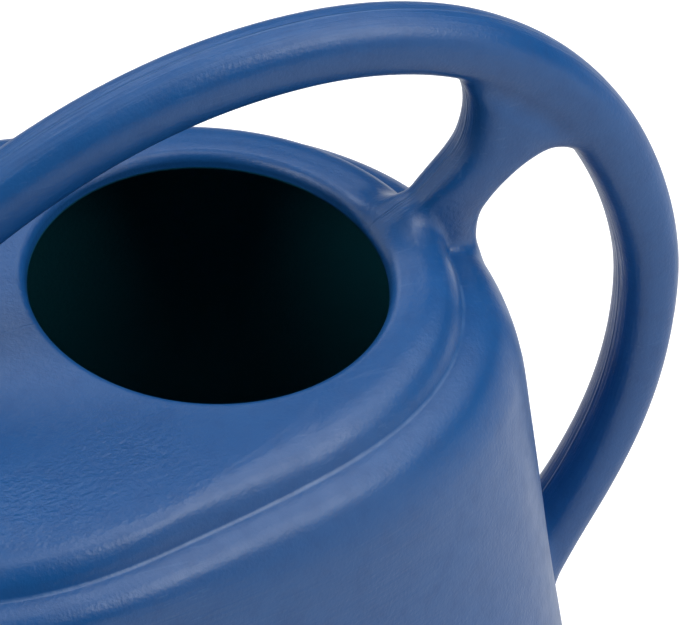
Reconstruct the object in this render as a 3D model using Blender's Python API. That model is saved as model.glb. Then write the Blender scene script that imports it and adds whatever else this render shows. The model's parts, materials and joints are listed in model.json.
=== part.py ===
"""Watering can, blow moulded in one piece with its arched handle, with a screwed-on spout and a push-on rose.

Metres, +Z up. The can stands on z = 0 with its spout towards -X, and it is symmetric about y = 0.
The origin is the middle of the whole can's box, on the surface that it stands on.
"""

import math

import bmesh
import bpy
import numpy as np
from mathutils import Vector

# Driving dimensions
OPENING_X = 0.15578  # middle of the filler opening, from the origin
RIM_Z = 0.2350  # level that the heights of the cap and the handle are given from
CAP_RISE = 0.0038  # cap's top above that level
OPENING_HALF_LENGTH = 0.0572
OPENING_HALF_WIDTH = 0.0626
LIP_RADIUS = 0.0038  # roll of the cap into the opening
WALL = 0.0024
FIT_GAP = 0.0003

CREASE_Z = 0.2272  # fold where the raised cap meets the shoulder
CREASE_REAR = 0.0791  # from the opening's middle
CREASE_FRONT = -0.1980
CREASE_HALF_WIDTH = 0.1040
EGG_END_POWER = 2.70
EGG_SIDE_POWER = 2.50
EGG_TAPER = 0.142  # how much narrower the rear end is

BASE_RECESS = 0.0040

HANDLE_HALF_DEPTH = 0.0112  # in the plane of the bow
HANDLE_HALF_WIDTH = 0.0110  # across the bow
GRIP_HALF_DEPTH = 0.0097  # at the rear grip

NECK_HEIGHT = 0.0840  # where the neck's axis leaves the front wall
NECK_TILT = math.radians(20)
NECK_RADIUS = 0.0230
NECK_BORE = 0.0185
NECK_LENGTH = 0.0300

SPOUT_ROOT_RADIUS = 0.0200
SPOUT_TIP_RADIUS = 0.0120
SPOUT_WALL = 0.0024
SPOUT_FLANGE = 0.0040
SPOUT_TIP = (-0.4240, 0.2480)  # x from the opening's middle, and z
SPOUT_TIP_TILT = math.radians(44)
SPOUT_STRAIGHT = 0.0120  # straight stretch at the root that the nut's lip runs on
TIP_SOCKET = 0.0240  # straight stretch at the tip that the rose slides on

GASKET_THICKNESS = 0.0020
NUT_RADIUS = 0.0290
NUT_RIB = 0.0013
NUT_RIBS = 18
NUT_LIP = 0.0035
NUT_SKIRT = 0.0180  # how far it reaches back over the neck
NUT_CLEARANCE = 0.0006

ROSE_RADIUS = 0.0360
ROSE_DEPTH = 0.0340  # cone, from the socket to the rim
ROSE_RIM = 0.0060
ROSE_WALL = 0.0020
ROSE_CLEARANCE = 0.00035
SEAL_WIDTH = 0.0026
SEAL_RADIUS = 0.0146
FACE_THICKNESS = 0.0020
FACE_DOME = 0.0045
HOLE_RADIUS = 0.0013
HOLE_RINGS = 4

AROUND = 48  # points round the tank
TUBE_SIDES = 16
SECTION_POWER = 2.4  # 2 is an ellipse, more is squarer
BOW_STATIONS = 44
ROUND_SIDES = 32


def clear_scene():
    for obj in list(bpy.data.objects):
        bpy.data.objects.remove(obj)


def material(name, colour, roughness, metallic=0.0):
    made = bpy.data.materials.new(name)
    made.use_nodes = True
    shader = made.node_tree.nodes["Principled BSDF"]
    shader.inputs["Base Color"].default_value = (*colour, 1.0)
    shader.inputs["Roughness"].default_value = roughness
    shader.inputs["Metallic"].default_value = metallic
    return made


def add_object(name, vertices, faces, finish=None, smooth_angle=35):
    """An object whose mesh is in world coordinates, with its faces turned outwards."""
    mesh = bpy.data.meshes.new(name)
    mesh.from_pydata([tuple(v) for v in vertices], [], faces)
    work = bmesh.new()
    work.from_mesh(mesh)
    bmesh.ops.recalc_face_normals(work, faces=work.faces)
    work.to_mesh(mesh)
    work.free()
    mesh.shade_smooth()
    mesh.set_sharp_from_angle(angle=math.radians(smooth_angle))
    if finish:
        mesh.materials.append(finish)
    obj = bpy.data.objects.new(name, mesh)
    bpy.context.scene.collection.objects.link(obj)
    return obj


def cutter(obj):
    obj.hide_render = True
    obj.display_type = "WIRE"
    return obj


def combine(obj, other, operation):
    step = obj.modifiers.new(f"{operation.lower()} {other.name}", "BOOLEAN")
    step.operation = operation
    step.solver = "EXACT"
    step.object = other


def set_origin(obj, point):
    """Moves the object's origin to a point and leaves its shape where it is."""
    shift = Vector(point)
    for vertex in obj.data.vertices:
        vertex.co -= shift
    obj.location = shift


def band_faces(rows, around, closed_rows=False):
    """Quads between neighbouring rings of points."""
    faces = []
    last = rows if closed_rows else rows - 1
    for i in range(last):
        above = (i + 1) % rows
        for j in range(around):
            ahead = (j + 1) % around
            faces.append((i * around + j, i * around + ahead, above * around + ahead, above * around + j))
    return faces


def fan_faces(centre, first, around):
    return [(centre, first + j, first + (j + 1) % around) for j in range(around)]


# ---------------------------------------------------------------- tank

def egg(grow_rear, grow_side, grow_front):
    """The tank's plan: a blunt oval, narrower at the rear, grown from the crease's outline."""
    rear = CREASE_REAR + grow_rear
    front = CREASE_FRONT - grow_front
    half_length = (rear - front) / 2
    turn = np.linspace(0, 2 * math.pi, AROUND, endpoint=False)
    cosine, sine = np.cos(turn), np.sin(turn)
    along = np.sign(cosine) * np.abs(cosine) ** (2 / EGG_END_POWER)
    across = np.sign(sine) * np.abs(sine) ** (2 / EGG_SIDE_POWER)
    x = OPENING_X + rear - half_length + half_length * along
    y = (CREASE_HALF_WIDTH + grow_side) * across * (1 - EGG_TAPER * along)
    return np.column_stack([x, y])


def opening_outline(grow):
    turn = np.linspace(0, 2 * math.pi, AROUND, endpoint=False)
    x = OPENING_X + (OPENING_HALF_LENGTH + grow) * np.cos(turn)
    y = (OPENING_HALF_WIDTH + grow) * np.sin(turn)
    return np.column_stack([x, y])


def ring(plan, z):
    return np.column_stack([plan, np.full(len(plan), z)])


def tank_rings():
    """Rings of the tank's outside, from the trimmed edge inside the opening to the base."""
    top = RIM_Z + CAP_RISE
    rings = [ring(opening_outline(-LIP_RADIUS * 0.1), top - 1.4 * LIP_RADIUS)]
    for degrees in (90, 55, 25, 0):
        angle = math.radians(degrees)
        grow = LIP_RADIUS * (1 - math.sin(angle))
        rings.append(ring(opening_outline(grow), top - LIP_RADIUS * (1 - math.cos(angle))))

    crease = egg(0, 0, 0)
    inward = opening_outline(LIP_RADIUS) - crease
    room = np.linalg.norm(inward, axis=1, keepdims=True)
    inward /= room
    # the cap's edge: how far inside the crease, and how far below the top. It is tighter round the rear.
    turn = np.linspace(0, 2 * math.pi, AROUND, endpoint=False)[:, None]
    squeeze = np.minimum(1.15 - 0.35 * np.cos(turn), 0.8 * room / 0.024)
    for inset, drop in ((0.024, 0.0003), (0.0150, 0.0012), (0.0080, 0.0032), (0.0032, 0.0068), (0.0008, 0.0104)):
        rings.append(ring(crease + inward * inset * squeeze, top - drop))
    rings.append(ring(crease, CREASE_Z))

    # the shoulder and the flared wall: level, then how far outside the crease at the rear, side and front
    for z, rear, side, front in (
        (0.2262, 0.0030, 0.0030, 0.0030),
        (0.2233, 0.0092, 0.0080, 0.0070),
        (0.2198, 0.0140, 0.0115, 0.0105),
        (0.2130, 0.0168, 0.0135, 0.0130),
        (0.2010, 0.0195, 0.0145, 0.0150),
        (0.1830, 0.0220, 0.0150, 0.0180),
        (0.1550, 0.0258, 0.0153, 0.0210),
        (0.1150, 0.0311, 0.0157, 0.0245),
        (0.0750, 0.0372, 0.0162, 0.0270),
        (0.0400, 0.0420, 0.0165, 0.0290),
        (0.0140, 0.0445, 0.0166, 0.0300),
        (0.0050, 0.0430, 0.0150, 0.0285),
        (0.0012, 0.0393, 0.0112, 0.0248),
        (0.0000, 0.0345, 0.0062, 0.0200),
    ):
        rings.append(ring(egg(rear, side, front), z))
    # the foot's flat ring and the recess inside it
    rings.append(ring(egg(0.020, -0.008, 0.006), 0.0))
    rings.append(ring(egg(0.015, -0.013, 0.001), BASE_RECESS))
    rings.append(ring(egg(-0.040, -0.060, -0.050), BASE_RECESS))
    return np.array(rings)


def outward_normals(rings):
    down = np.gradient(rings, axis=0)
    around = np.roll(rings, -1, axis=1) - np.roll(rings, 1, axis=1)
    normals = np.cross(down, around)
    return normals / np.linalg.norm(normals, axis=2, keepdims=True)


def tank_outside(grow=0.0, name="tank_outside"):
    """The tank as a filled body, for trimming what is joined to it."""
    rings = tank_rings()[1:]
    rings = rings + outward_normals(rings) * grow
    count = len(rings)
    points = list(rings.reshape(-1, 3))
    points.append(rings[0].mean(axis=0))
    points.append(rings[-1].mean(axis=0))
    faces = band_faces(count, AROUND)
    faces += fan_faces(count * AROUND, 0, AROUND)
    faces += fan_faces(count * AROUND + 1, (count - 1) * AROUND, AROUND)
    return cutter(add_object(name, points, faces))


def wall_x(z):
    """The front wall's x at a level."""
    rings = tank_rings()
    levels = rings[:, AROUND // 2, 2][::-1]
    places = rings[:, AROUND // 2, 0][::-1]
    return float(np.interp(z, levels[3:], places[3:]))


def along_neck(distance):
    direction = Vector((-math.cos(NECK_TILT), 0, math.sin(NECK_TILT)))
    return Vector((wall_x(NECK_HEIGHT), 0, NECK_HEIGHT)) + direction * distance


def make_tank(finish):
    outside = tank_rings()
    inside = outside - outward_normals(outside) * WALL
    inside[-3:, :, 2] = BASE_RECESS + WALL
    rings = np.concatenate([inside[::-1], outside])
    count = len(rings)
    points = list(rings.reshape(-1, 3))
    points.append(rings[0].mean(axis=0))
    points.append(rings[-1].mean(axis=0))
    faces = band_faces(count, AROUND)
    faces += fan_faces(count * AROUND, 0, AROUND)
    faces += fan_faces(count * AROUND + 1, (count - 1) * AROUND, AROUND)
    tank = add_object("tank", points, faces, finish)

    axis = along_neck(1) - along_neck(0)
    bore = turned("neck_bore", along_neck(0), axis, [(NECK_BORE, NECK_LENGTH + 0.010), (NECK_BORE, -0.0250)])
    combine(tank, cutter(bore), "DIFFERENCE")
    return tank


def make_neck(finish, tank_cut):
    """The short neck on the front wall that the spout is screwed to."""
    profile = [(NECK_RADIUS, NECK_LENGTH), (NECK_RADIUS, -0.0100), (NECK_BORE, -0.0100), (NECK_BORE, NECK_LENGTH)]
    neck = turned("spout_neck", along_neck(0), along_neck(1) - along_neck(0), profile, finish, closed=True)
    combine(neck, tank_cut, "DIFFERENCE")
    return neck


# ---------------------------------------------------------------- turned and swept shapes

def turned(name, base, axis, profile, finish=None, sides=ROUND_SIDES, closed=False):
    """A profile of (radius, distance along the axis) turned about an axis.

    An open profile gets a flat disc at each end. A closed one makes a ring.
    """
    axis = Vector(axis).normalized()
    side = axis.orthogonal().normalized()
    other = axis.cross(side)
    points = []
    for radius, distance in profile:
        for j in range(sides):
            turn = 2 * math.pi * j / sides
            points.append(Vector(base) + axis * distance + (side * math.cos(turn) + other * math.sin(turn)) * radius)
    faces = band_faces(len(profile), sides, closed)
    if not closed:
        faces.append(tuple(range(sides)))
        faces.append(tuple(range((len(profile) - 1) * sides, len(profile) * sides)))
    return add_object(name, points, faces, finish)


def smooth_path(points, count):
    """Evenly spaced points on the Catmull-Rom curve through (x, z) points."""
    points = np.array(points, float)
    ends = [2 * points[0] - points[1], *points, 2 * points[-1] - points[-2]]
    dense = []
    for a, b, c, d in zip(ends, ends[1:], ends[2:], ends[3:]):
        for t in np.linspace(0, 1, 24, endpoint=False):
            dense.append(0.5 * (2 * b + (c - a) * t + (2 * a - 5 * b + 4 * c - d) * t**2 + (3 * b - a - 3 * c + d) * t**3))
    dense = np.array([*dense, points[-1]])
    run = np.append(0, np.cumsum(np.linalg.norm(np.diff(dense, axis=0), axis=1)))
    wanted = np.linspace(0, run[-1], count)
    return np.column_stack([np.interp(wanted, run, dense[:, i]) for i in (0, 1)])


def add_rings(name, centres, halves, widths, finish=None):
    """A closed body through rounded sections: centre and half depth in the plane y = 0, half width across it."""
    points = []
    for (x, z), (half_x, half_z), width in zip(centres, halves, widths):
        for j in range(TUBE_SIDES):
            turn = 2 * math.pi * (j + 0.5) / TUBE_SIDES
            cosine, sine = math.cos(turn), math.sin(turn)
            out = math.copysign(abs(cosine) ** (2 / SECTION_POWER), cosine)
            across = math.copysign(abs(sine) ** (2 / SECTION_POWER), sine)
            points.append((x + half_x * out, width * across, z + half_z * out))
    rows = len(points) // TUBE_SIDES
    faces = band_faces(rows, TUBE_SIDES)
    faces.append(tuple(range(TUBE_SIDES)))
    faces.append(tuple(range((rows - 1) * TUBE_SIDES, rows * TUBE_SIDES)))
    return add_object(name, points, faces, finish)


def swept(name, path, half_depths, half_widths, finish=None):
    """A rounded bar along a path in the plane y = 0."""
    tangents = np.gradient(path, axis=0)
    tangents /= np.linalg.norm(tangents, axis=1, keepdims=True)
    outwards = np.column_stack([-tangents[:, 1], tangents[:, 0]])
    return add_rings(name, path, outwards * half_depths[:, None], half_widths, finish)


# ---------------------------------------------------------------- handle

# middle of the bow, (x from the opening's middle, z from the rim's level), from its front root to its rear root
BOW = (
    (-0.138, -0.026), (-0.1290, 0.0000), (-0.1130, 0.0250), (-0.0930, 0.0440), (-0.0697, 0.0587), (-0.0357, 0.0734),
    (-0.0017, 0.0814), (0.0324, 0.0829), (0.0600, 0.0790), (0.0861, 0.0698), (0.1060, 0.0572), (0.1230, 0.0411),
    (0.1378, 0.0203), (0.1496, -0.0061), (0.1560, -0.0320), (0.1572, -0.0514), (0.1538, -0.0803), (0.1467, -0.1039),
    (0.1357, -0.1264), (0.1252, -0.1428), (0.1146, -0.1598), (0.1026, -0.1800),
)
# front and rear edges of the brace, from inside the bow down into the back of the cap. Its top spreads into a web.
BRACE_FRONT = (
    (0.0880, 0.0660), (0.0888, 0.0540), (0.0905, 0.0460), (0.0905, 0.0380), (0.0883, 0.0294), (0.0838, 0.0232),
    (0.0768, 0.0167), (0.0690, 0.0090), (0.0640, 0.0000), (0.0620, -0.0120),
)
BRACE_REAR = (
    (0.1365, 0.0195), (0.1265, 0.0185), (0.1190, 0.0195), (0.1130, 0.0182), (0.1075, 0.0158), (0.1015, 0.0115),
    (0.0965, 0.0065), (0.0925, 0.0005), (0.0908, -0.0080), (0.0920, -0.0220),
)
BRACE_HALF_WIDTHS = (0.0088, 0.0090, 0.0094, 0.0098, 0.0100, 0.0103, 0.0106, 0.0110, 0.0118, 0.0128)


def in_frame(points):
    return [(x + OPENING_X, z + RIM_Z) for x, z in points]


def bow_sizes():
    """Half depth and half width along the bow: full over the top, slimmer at the rear grip, flared at both roots."""
    along = np.linspace(0, 1, BOW_STATIONS)
    grip = GRIP_HALF_DEPTH / HANDLE_HALF_DEPTH
    places = [0, 0.05, 0.14, 0.50, 0.56, 0.63, 0.70, 0.78, 0.90, 0.96, 1]
    depth = np.interp(along, places, [1.6, 1.3, 1.08, 0.97, 1.00, 1.00, 0.94, grip, grip, 1, 1.35])
    width = np.interp(along, [0.0, 0.05, 0.14, 0.86, 0.95, 1.0], [1.30, 1.12, 1.0, 1.0, 1.08, 1.25])
    return depth * HANDLE_HALF_DEPTH, width * HANDLE_HALF_WIDTH


def make_handle(finish, tank_cut):
    path = smooth_path(in_frame(BOW), BOW_STATIONS)
    depths, widths = bow_sizes()
    handle = swept("handle", path, depths, widths, finish)
    combine(handle, tank_cut, "DIFFERENCE")
    return handle


def make_brace(finish, tank_cut):
    stations = 16
    fronts = smooth_path(in_frame(BRACE_FRONT), stations)
    rears = smooth_path(in_frame(BRACE_REAR), stations)
    along = np.linspace(0, 1, stations)
    widths = np.interp(along, np.linspace(0, 1, len(BRACE_HALF_WIDTHS)), BRACE_HALF_WIDTHS)
    brace = add_rings("handle_brace", (fronts + rears) / 2, (fronts - rears) / 2, widths, finish)

    path = smooth_path(in_frame(BOW), BOW_STATIONS)
    depths, bow_widths = bow_sizes()
    bow_cut = cutter(swept("bow_cut", path, depths + FIT_GAP, bow_widths + FIT_GAP))
    combine(brace, tank_cut, "DIFFERENCE")
    combine(brace, bow_cut, "DIFFERENCE")
    return brace


# ---------------------------------------------------------------- spout, its nut and its gasket

def spout_path(count):
    """Middle of the spout: straight through the nut, a gentle rise, and straight again at the tip."""
    root = along_neck(NECK_LENGTH + 2 * FIT_GAP + GASKET_THICKNESS)
    axis = along_neck(1) - along_neck(0)
    start = root + axis * SPOUT_STRAIGHT
    tip_axis = Vector((-math.cos(SPOUT_TIP_TILT), 0, math.sin(SPOUT_TIP_TILT)))
    tip = Vector((OPENING_X + SPOUT_TIP[0], 0, SPOUT_TIP[1]))
    end = tip - tip_axis * TIP_SOCKET
    reach = (end - start).length / 3
    curve = []
    for t in np.linspace(0, 1, count):
        a, b, c, d = (1 - t) ** 3, 3 * (1 - t) ** 2 * t, 3 * (1 - t) * t**2, t**3
        curve.append(start * a + (start + axis * reach) * b + (end - tip_axis * reach) * c + end * d)
    return root, axis, curve, tip, tip_axis


def spout_rings(path, radii, sides):
    """Circles about a path in the plane y = 0, one list of points for each."""
    rings = []
    for i, (centre, radius) in enumerate(zip(path, radii)):
        ahead = path[min(i + 1, len(path) - 1)] - path[max(i - 1, 0)]
        ahead.normalize()
        up = Vector((-ahead.z, 0, ahead.x))
        ring_points = []
        for j in range(sides):
            turn = 2 * math.pi * j / sides
            ring_points.append(centre + up * (radius * math.cos(turn)) + Vector((0, radius * math.sin(turn), 0)))
        rings.append(ring_points)
    return rings


def make_spout(finish):
    root, axis, curve, tip, _ = spout_path(14)
    flange_end = root + axis * SPOUT_FLANGE
    taper = np.linspace(SPOUT_ROOT_RADIUS, SPOUT_TIP_RADIUS, len(curve))
    outer_path = [root, flange_end, flange_end, *curve, tip]
    outer_radii = [NECK_RADIUS, NECK_RADIUS, SPOUT_ROOT_RADIUS, *taper, SPOUT_TIP_RADIUS]
    inner_path = [root, *curve, tip]
    inner_radii = [SPOUT_ROOT_RADIUS - SPOUT_WALL, *(taper - SPOUT_WALL), SPOUT_TIP_RADIUS - SPOUT_WALL]
    sides = 28
    rings = spout_rings(outer_path, outer_radii, sides) + spout_rings(inner_path, inner_radii, sides)[::-1]
    points = [point for ring_points in rings for point in ring_points]
    return add_object("spout", points, band_faces(len(rings), sides, closed_rows=True), finish)


def make_gasket(finish):
    axis = along_neck(1) - along_neck(0)
    base = along_neck(NECK_LENGTH + FIT_GAP)
    profile = [
        (NECK_RADIUS - 0.0004, 0),
        (NECK_RADIUS - 0.0004, GASKET_THICKNESS),
        (NECK_BORE, GASKET_THICKNESS),
        (NECK_BORE, 0),
    ]
    return turned("spout_gasket", base, axis, profile, finish, sides=32, closed=True)


def make_nut(finish):
    """The ribbed coupling nut: its lip bears on the spout's flange, its skirt reaches back over the neck."""
    axis = (along_neck(1) - along_neck(0)).normalized()
    shoulder = NECK_LENGTH + 2 * FIT_GAP + GASKET_THICKNESS + SPOUT_FLANGE + FIT_GAP
    base = along_neck(shoulder)
    skirt = -(shoulder - NECK_LENGTH) - NUT_SKIRT
    hole = SPOUT_ROOT_RADIUS + 0.0004
    inside = NECK_RADIUS + NUT_CLEARANCE
    # radius, distance, and how much of the rib's height is on it
    profile = [
        (hole, 0, 0), (hole, NUT_LIP, 0), (NUT_RADIUS - 0.0015, NUT_LIP, 0), (NUT_RADIUS, NUT_LIP - 0.0015, 1),
        (NUT_RADIUS, skirt + 0.0010, 1), (NUT_RADIUS - 0.0010, skirt, 0), (inside, skirt, 0), (inside, 0, 0),
    ]
    side = Vector((0, 1, 0))
    other = axis.cross(side)
    sides = NUT_RIBS * 4
    points = []
    for radius, distance, ribbed in profile:
        for j in range(sides):
            turn = 2 * math.pi * j / sides
            rib = ribbed * NUT_RIB * (0, 0.7, 1, 0.7)[j % 4]
            points.append(base + axis * distance + (side * math.cos(turn) + other * math.sin(turn)) * (radius + rib))
    nut = add_object("spout_nut", points, band_faces(len(profile), sides, closed_rows=True), finish)
    set_origin(nut, base)
    return nut


# ---------------------------------------------------------------- rose

def rose_frame():
    """A point at the end of the spout and the direction that the rose faces."""
    _, _, _, tip, tip_axis = spout_path(4)
    return tip, tip_axis


SOCKET_DEPTH = TIP_SOCKET - 0.0040
SEAL_START = -0.0120  # behind the spout's end


def make_rose_cup(finish):
    tip, axis = rose_frame()
    bore = SPOUT_TIP_RADIUS + ROSE_CLEARANCE
    groove = SEAL_RADIUS + FIT_GAP
    socket = groove + ROSE_WALL * 0.8
    throat = SPOUT_TIP_RADIUS - SPOUT_WALL + 0.0010
    rim_start = FIT_GAP * 3 + ROSE_DEPTH
    profile = [
        (bore, -SOCKET_DEPTH), (socket, -SOCKET_DEPTH), (socket, 0.0010), (socket + 0.0040, 0.0065),
        (socket + 0.0110, 0.0150), (ROSE_RADIUS - 0.0020, rim_start - 0.0030), (ROSE_RADIUS, rim_start),
        (ROSE_RADIUS, rim_start + ROSE_RIM), (ROSE_RADIUS - ROSE_WALL, rim_start + ROSE_RIM),
        (ROSE_RADIUS - ROSE_WALL, rim_start + 0.0010), (ROSE_RADIUS - ROSE_WALL - 0.0020, rim_start + 0.0010),
        (ROSE_RADIUS - ROSE_WALL - 0.0022, rim_start - 0.0030), (socket + 0.0090, 0.0160),
        (socket + 0.0018, 0.0080), (throat + 0.0010, 0.0030), (throat, 0.0022), (throat, 0.0009), (bore, 0.0009),
        (bore, SEAL_START + SEAL_WIDTH + FIT_GAP), (groove, SEAL_START + SEAL_WIDTH + FIT_GAP),
        (groove, SEAL_START - FIT_GAP), (bore, SEAL_START - FIT_GAP),
    ]
    cup = turned("rose_cup", tip, axis, profile, finish, closed=True)
    set_origin(cup, tip)
    return cup


def make_rose_seal(finish):
    tip, axis = rose_frame()
    inner = SPOUT_TIP_RADIUS + 0.0001
    profile = [
        (inner, SEAL_START + 0.0006), (inner + 0.0006, SEAL_START), (SEAL_RADIUS - 0.0006, SEAL_START),
        (SEAL_RADIUS, SEAL_START + 0.0006), (SEAL_RADIUS, SEAL_START + SEAL_WIDTH - 0.0006),
        (SEAL_RADIUS - 0.0006, SEAL_START + SEAL_WIDTH), (inner + 0.0006, SEAL_START + SEAL_WIDTH),
        (inner, SEAL_START + SEAL_WIDTH - 0.0006),
    ]
    seal = turned("rose_seal", tip, axis, profile, finish, sides=32, closed=True)
    set_origin(seal, tip)
    return seal


def make_rose_face(finish):
    """A domed plate with rings of fine holes, snapped into the cup's rim."""
    tip, axis = rose_frame()
    seat = FIT_GAP * 3 + ROSE_DEPTH + 0.0010 + FIT_GAP
    radius = ROSE_RADIUS - ROSE_WALL - FIT_GAP
    side = Vector((0, 1, 0))
    other = axis.cross(side)
    spread = [radius, radius * 0.8, radius * 0.6, radius * 0.4, radius * 0.2]
    sides = 32
    points = []
    for level in (0.0, FACE_THICKNESS):
        for r in spread:
            rise = FACE_DOME * (1 - (r / radius) ** 2)
            for j in range(sides):
                turn = 2 * math.pi * j / sides
                points.append(tip + axis * (seat + level + rise) + (side * math.cos(turn) + other * math.sin(turn)) * r)
    rows = len(spread)
    points.append(tip + axis * (seat + FACE_DOME))
    points.append(tip + axis * (seat + FACE_THICKNESS + FACE_DOME))
    faces = band_faces(rows, sides)
    faces += [tuple(index + rows * sides for index in face) for face in band_faces(rows, sides)]
    faces += [(j, (j + 1) % sides, rows * sides + (j + 1) % sides, rows * sides + j) for j in range(sides)]
    faces += fan_faces(2 * rows * sides, (rows - 1) * sides, sides)
    faces += fan_faces(2 * rows * sides + 1, (2 * rows - 1) * sides, sides)
    face = add_object("rose_face", points, faces, finish)

    holes, hole_faces = [], []
    for index in range(HOLE_RINGS):
        pitch = index * radius * 0.82 / (HOLE_RINGS - 1)
        for k in range(max(1, 6 * index)):
            turn = 2 * math.pi * k / max(1, 6 * index)
            centre = tip + (side * math.cos(turn) + other * math.sin(turn)) * pitch
            first = len(holes)
            for distance in (seat - 0.004, seat + FACE_DOME + 0.006):
                for j in range(8):
                    step = 2 * math.pi * (j + 0.5) / 8
                    holes.append(centre + axis * distance + (side * math.cos(step) + other * math.sin(step)) * HOLE_RADIUS)
            hole_faces += [tuple(first + i for i in f) for f in band_faces(2, 8)]
            hole_faces.append(tuple(first + j for j in range(8)))
            hole_faces.append(tuple(first + 8 + j for j in range(8)))
    combine(face, cutter(add_object("face_holes", holes, hole_faces)), "DIFFERENCE")
    return face


def main():
    clear_scene()
    moulding = material("navy_hdpe", (0.035, 0.115, 0.30), 0.42)
    spout_plastic = material("navy_pp", (0.035, 0.115, 0.30), 0.38)
    nut_plastic = material("nut_plastic", (0.028, 0.095, 0.25), 0.40)
    rose_plastic = material("rose_plastic", (0.030, 0.100, 0.27), 0.36)
    rubber = material("black_rubber", (0.02, 0.02, 0.022), 0.75)

    tank_cut = tank_outside(FIT_GAP, "tank_cut")
    make_tank(moulding)
    make_neck(moulding, tank_cut)
    make_handle(moulding, tank_cut)
    make_brace(moulding, tank_cut)
    make_spout(spout_plastic)
    make_gasket(rubber)
    make_nut(nut_plastic)
    make_rose_cup(rose_plastic)
    make_rose_face(rose_plastic)
    make_rose_seal(rubber)


main()
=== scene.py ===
import json
import math

import bmesh
import bpy
import numpy as np
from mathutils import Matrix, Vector
from mathutils.bvhtree import BVHTree
from mathutils.kdtree import KDTree


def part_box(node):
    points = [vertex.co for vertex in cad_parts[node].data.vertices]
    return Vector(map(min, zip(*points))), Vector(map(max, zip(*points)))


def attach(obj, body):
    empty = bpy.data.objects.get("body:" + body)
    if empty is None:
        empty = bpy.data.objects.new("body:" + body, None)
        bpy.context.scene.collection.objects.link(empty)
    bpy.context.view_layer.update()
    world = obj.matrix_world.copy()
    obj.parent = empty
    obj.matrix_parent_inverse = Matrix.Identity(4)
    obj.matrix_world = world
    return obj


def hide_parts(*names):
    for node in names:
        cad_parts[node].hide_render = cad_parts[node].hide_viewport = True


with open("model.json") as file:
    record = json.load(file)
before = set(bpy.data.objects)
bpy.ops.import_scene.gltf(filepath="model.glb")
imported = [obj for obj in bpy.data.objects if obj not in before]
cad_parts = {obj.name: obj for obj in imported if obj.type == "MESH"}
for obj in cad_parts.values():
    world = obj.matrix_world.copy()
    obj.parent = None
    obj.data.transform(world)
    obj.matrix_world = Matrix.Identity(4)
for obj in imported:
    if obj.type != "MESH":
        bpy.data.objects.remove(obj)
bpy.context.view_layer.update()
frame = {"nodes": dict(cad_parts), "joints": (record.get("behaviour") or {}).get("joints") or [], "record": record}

record = frame["record"]
joints = {joint["name"]: joint for joint in frame["joints"]}
openings = {opening["name"]: opening["box_m"] for opening in record["physics"]["openings"]}

# -------- the can's own dimensions, in metres
# Heights of the cap and the handle are given from RIM_Z, and lengths along x from the opening's middle.
OPENING_X = (openings["filler_mouth"][0][0] + openings["filler_mouth"][1][0]) / 2
TOP_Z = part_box("tank")[1].z
CAP_RISE = 0.0038
RIM_Z = TOP_Z - CAP_RISE
OPENING_HALF_LENGTH = 0.0572
OPENING_HALF_WIDTH = 0.0626
LIP_RADIUS = 0.0038
WALL = 0.0024

CREASE_Z = 0.2272
# plans of the cap and of the wall: middle, lengths to the rear and the front, half width, taper, then the
# powers of the rear end, the front end and the sides
CAP_PLAN = (-0.0605, 0.1410, 0.1245, 0.1057, 0.244, 3.99, 2.17, 2.00)
WALL_PLAN = (-0.05945, 0.13855, 0.13855, 0.1040, 0.142, 2.70, 2.15, 2.50)
PLANS_MEET = 0.0200  # how far below the crease the wall has its own plan
BASE_RECESS = 0.0040

HANDLE_HALF_DEPTH = 0.0112
HANDLE_HALF_WIDTH = 0.0110
GRIP_HALF_DEPTH = 0.0097
GRIP = GRIP_HALF_DEPTH / HANDLE_HALF_DEPTH
SECTION_POWER = 2.4
BRACE_POWER = 2.7  # a little squarer, with the edges of its faces showing

NECK_RADIUS = 0.0230
NECK_BORE = 0.0185
NECK_LENGTH = 0.0300
NECK_COLLAR = 0.0090  # plain stretch of the neck before its thread
THREAD_ROOT = 0.0219
NECK_ZONE_X = OPENING_X - 0.150

AROUND = 300  # points round the tank
TUBE_SIDES = 44
FINE = 0.0020  # spacing of stations along the handle


# -------- mesh helpers

def add_mesh(name, points, faces, smooth=True):
    mesh = bpy.data.meshes.new(name)
    mesh.from_pydata(np.asarray(points, float).tolist(), [], faces)
    work = bmesh.new()
    work.from_mesh(mesh)
    bmesh.ops.recalc_face_normals(work, faces=work.faces)
    work.to_mesh(mesh)
    work.free()
    if smooth:
        mesh.shade_smooth()
    obj = bpy.data.objects.new(name, mesh)
    bpy.context.scene.collection.objects.link(obj)
    return obj


def band_faces(rows, around, closed_rows=False):
    """Quads between neighbouring rings of points."""
    faces = []
    for i in range(rows if closed_rows else rows - 1):
        above = (i + 1) % rows
        for j in range(around):
            ahead = (j + 1) % around
            faces.append((i * around + j, i * around + ahead, above * around + ahead, above * around + j))
    return faces


def looped_rings(name, rings):
    """A body through rings of points whose last ring joins its first, such as a tube with a wall."""
    faces = band_faces(len(rings), len(rings[0]), closed_rows=True)
    return add_mesh(name, np.concatenate(rings), faces)


def closed_rings(name, rings):
    """A closed body through rings of points, with a fan at each end."""
    rings = np.asarray(rings)
    rows, around = rings.shape[:2]
    points = np.concatenate([rings.reshape(-1, 3), [rings[0].mean(axis=0), rings[-1].mean(axis=0)]])
    faces = band_faces(rows, around)
    last = (rows - 1) * around
    faces += [(rows * around, j, (j + 1) % around) for j in range(around)]
    faces += [(rows * around + 1, last + j, last + (j + 1) % around) for j in range(around)]
    return add_mesh(name, points, faces)


def boolean(obj, other, operation):
    """Applies an exact Boolean to obj and removes the other object."""
    step = obj.modifiers.new(operation, "BOOLEAN")
    step.operation = operation
    step.solver = "EXACT"
    step.object = other
    apply_modifiers(obj)
    bpy.data.objects.remove(other)


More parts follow.
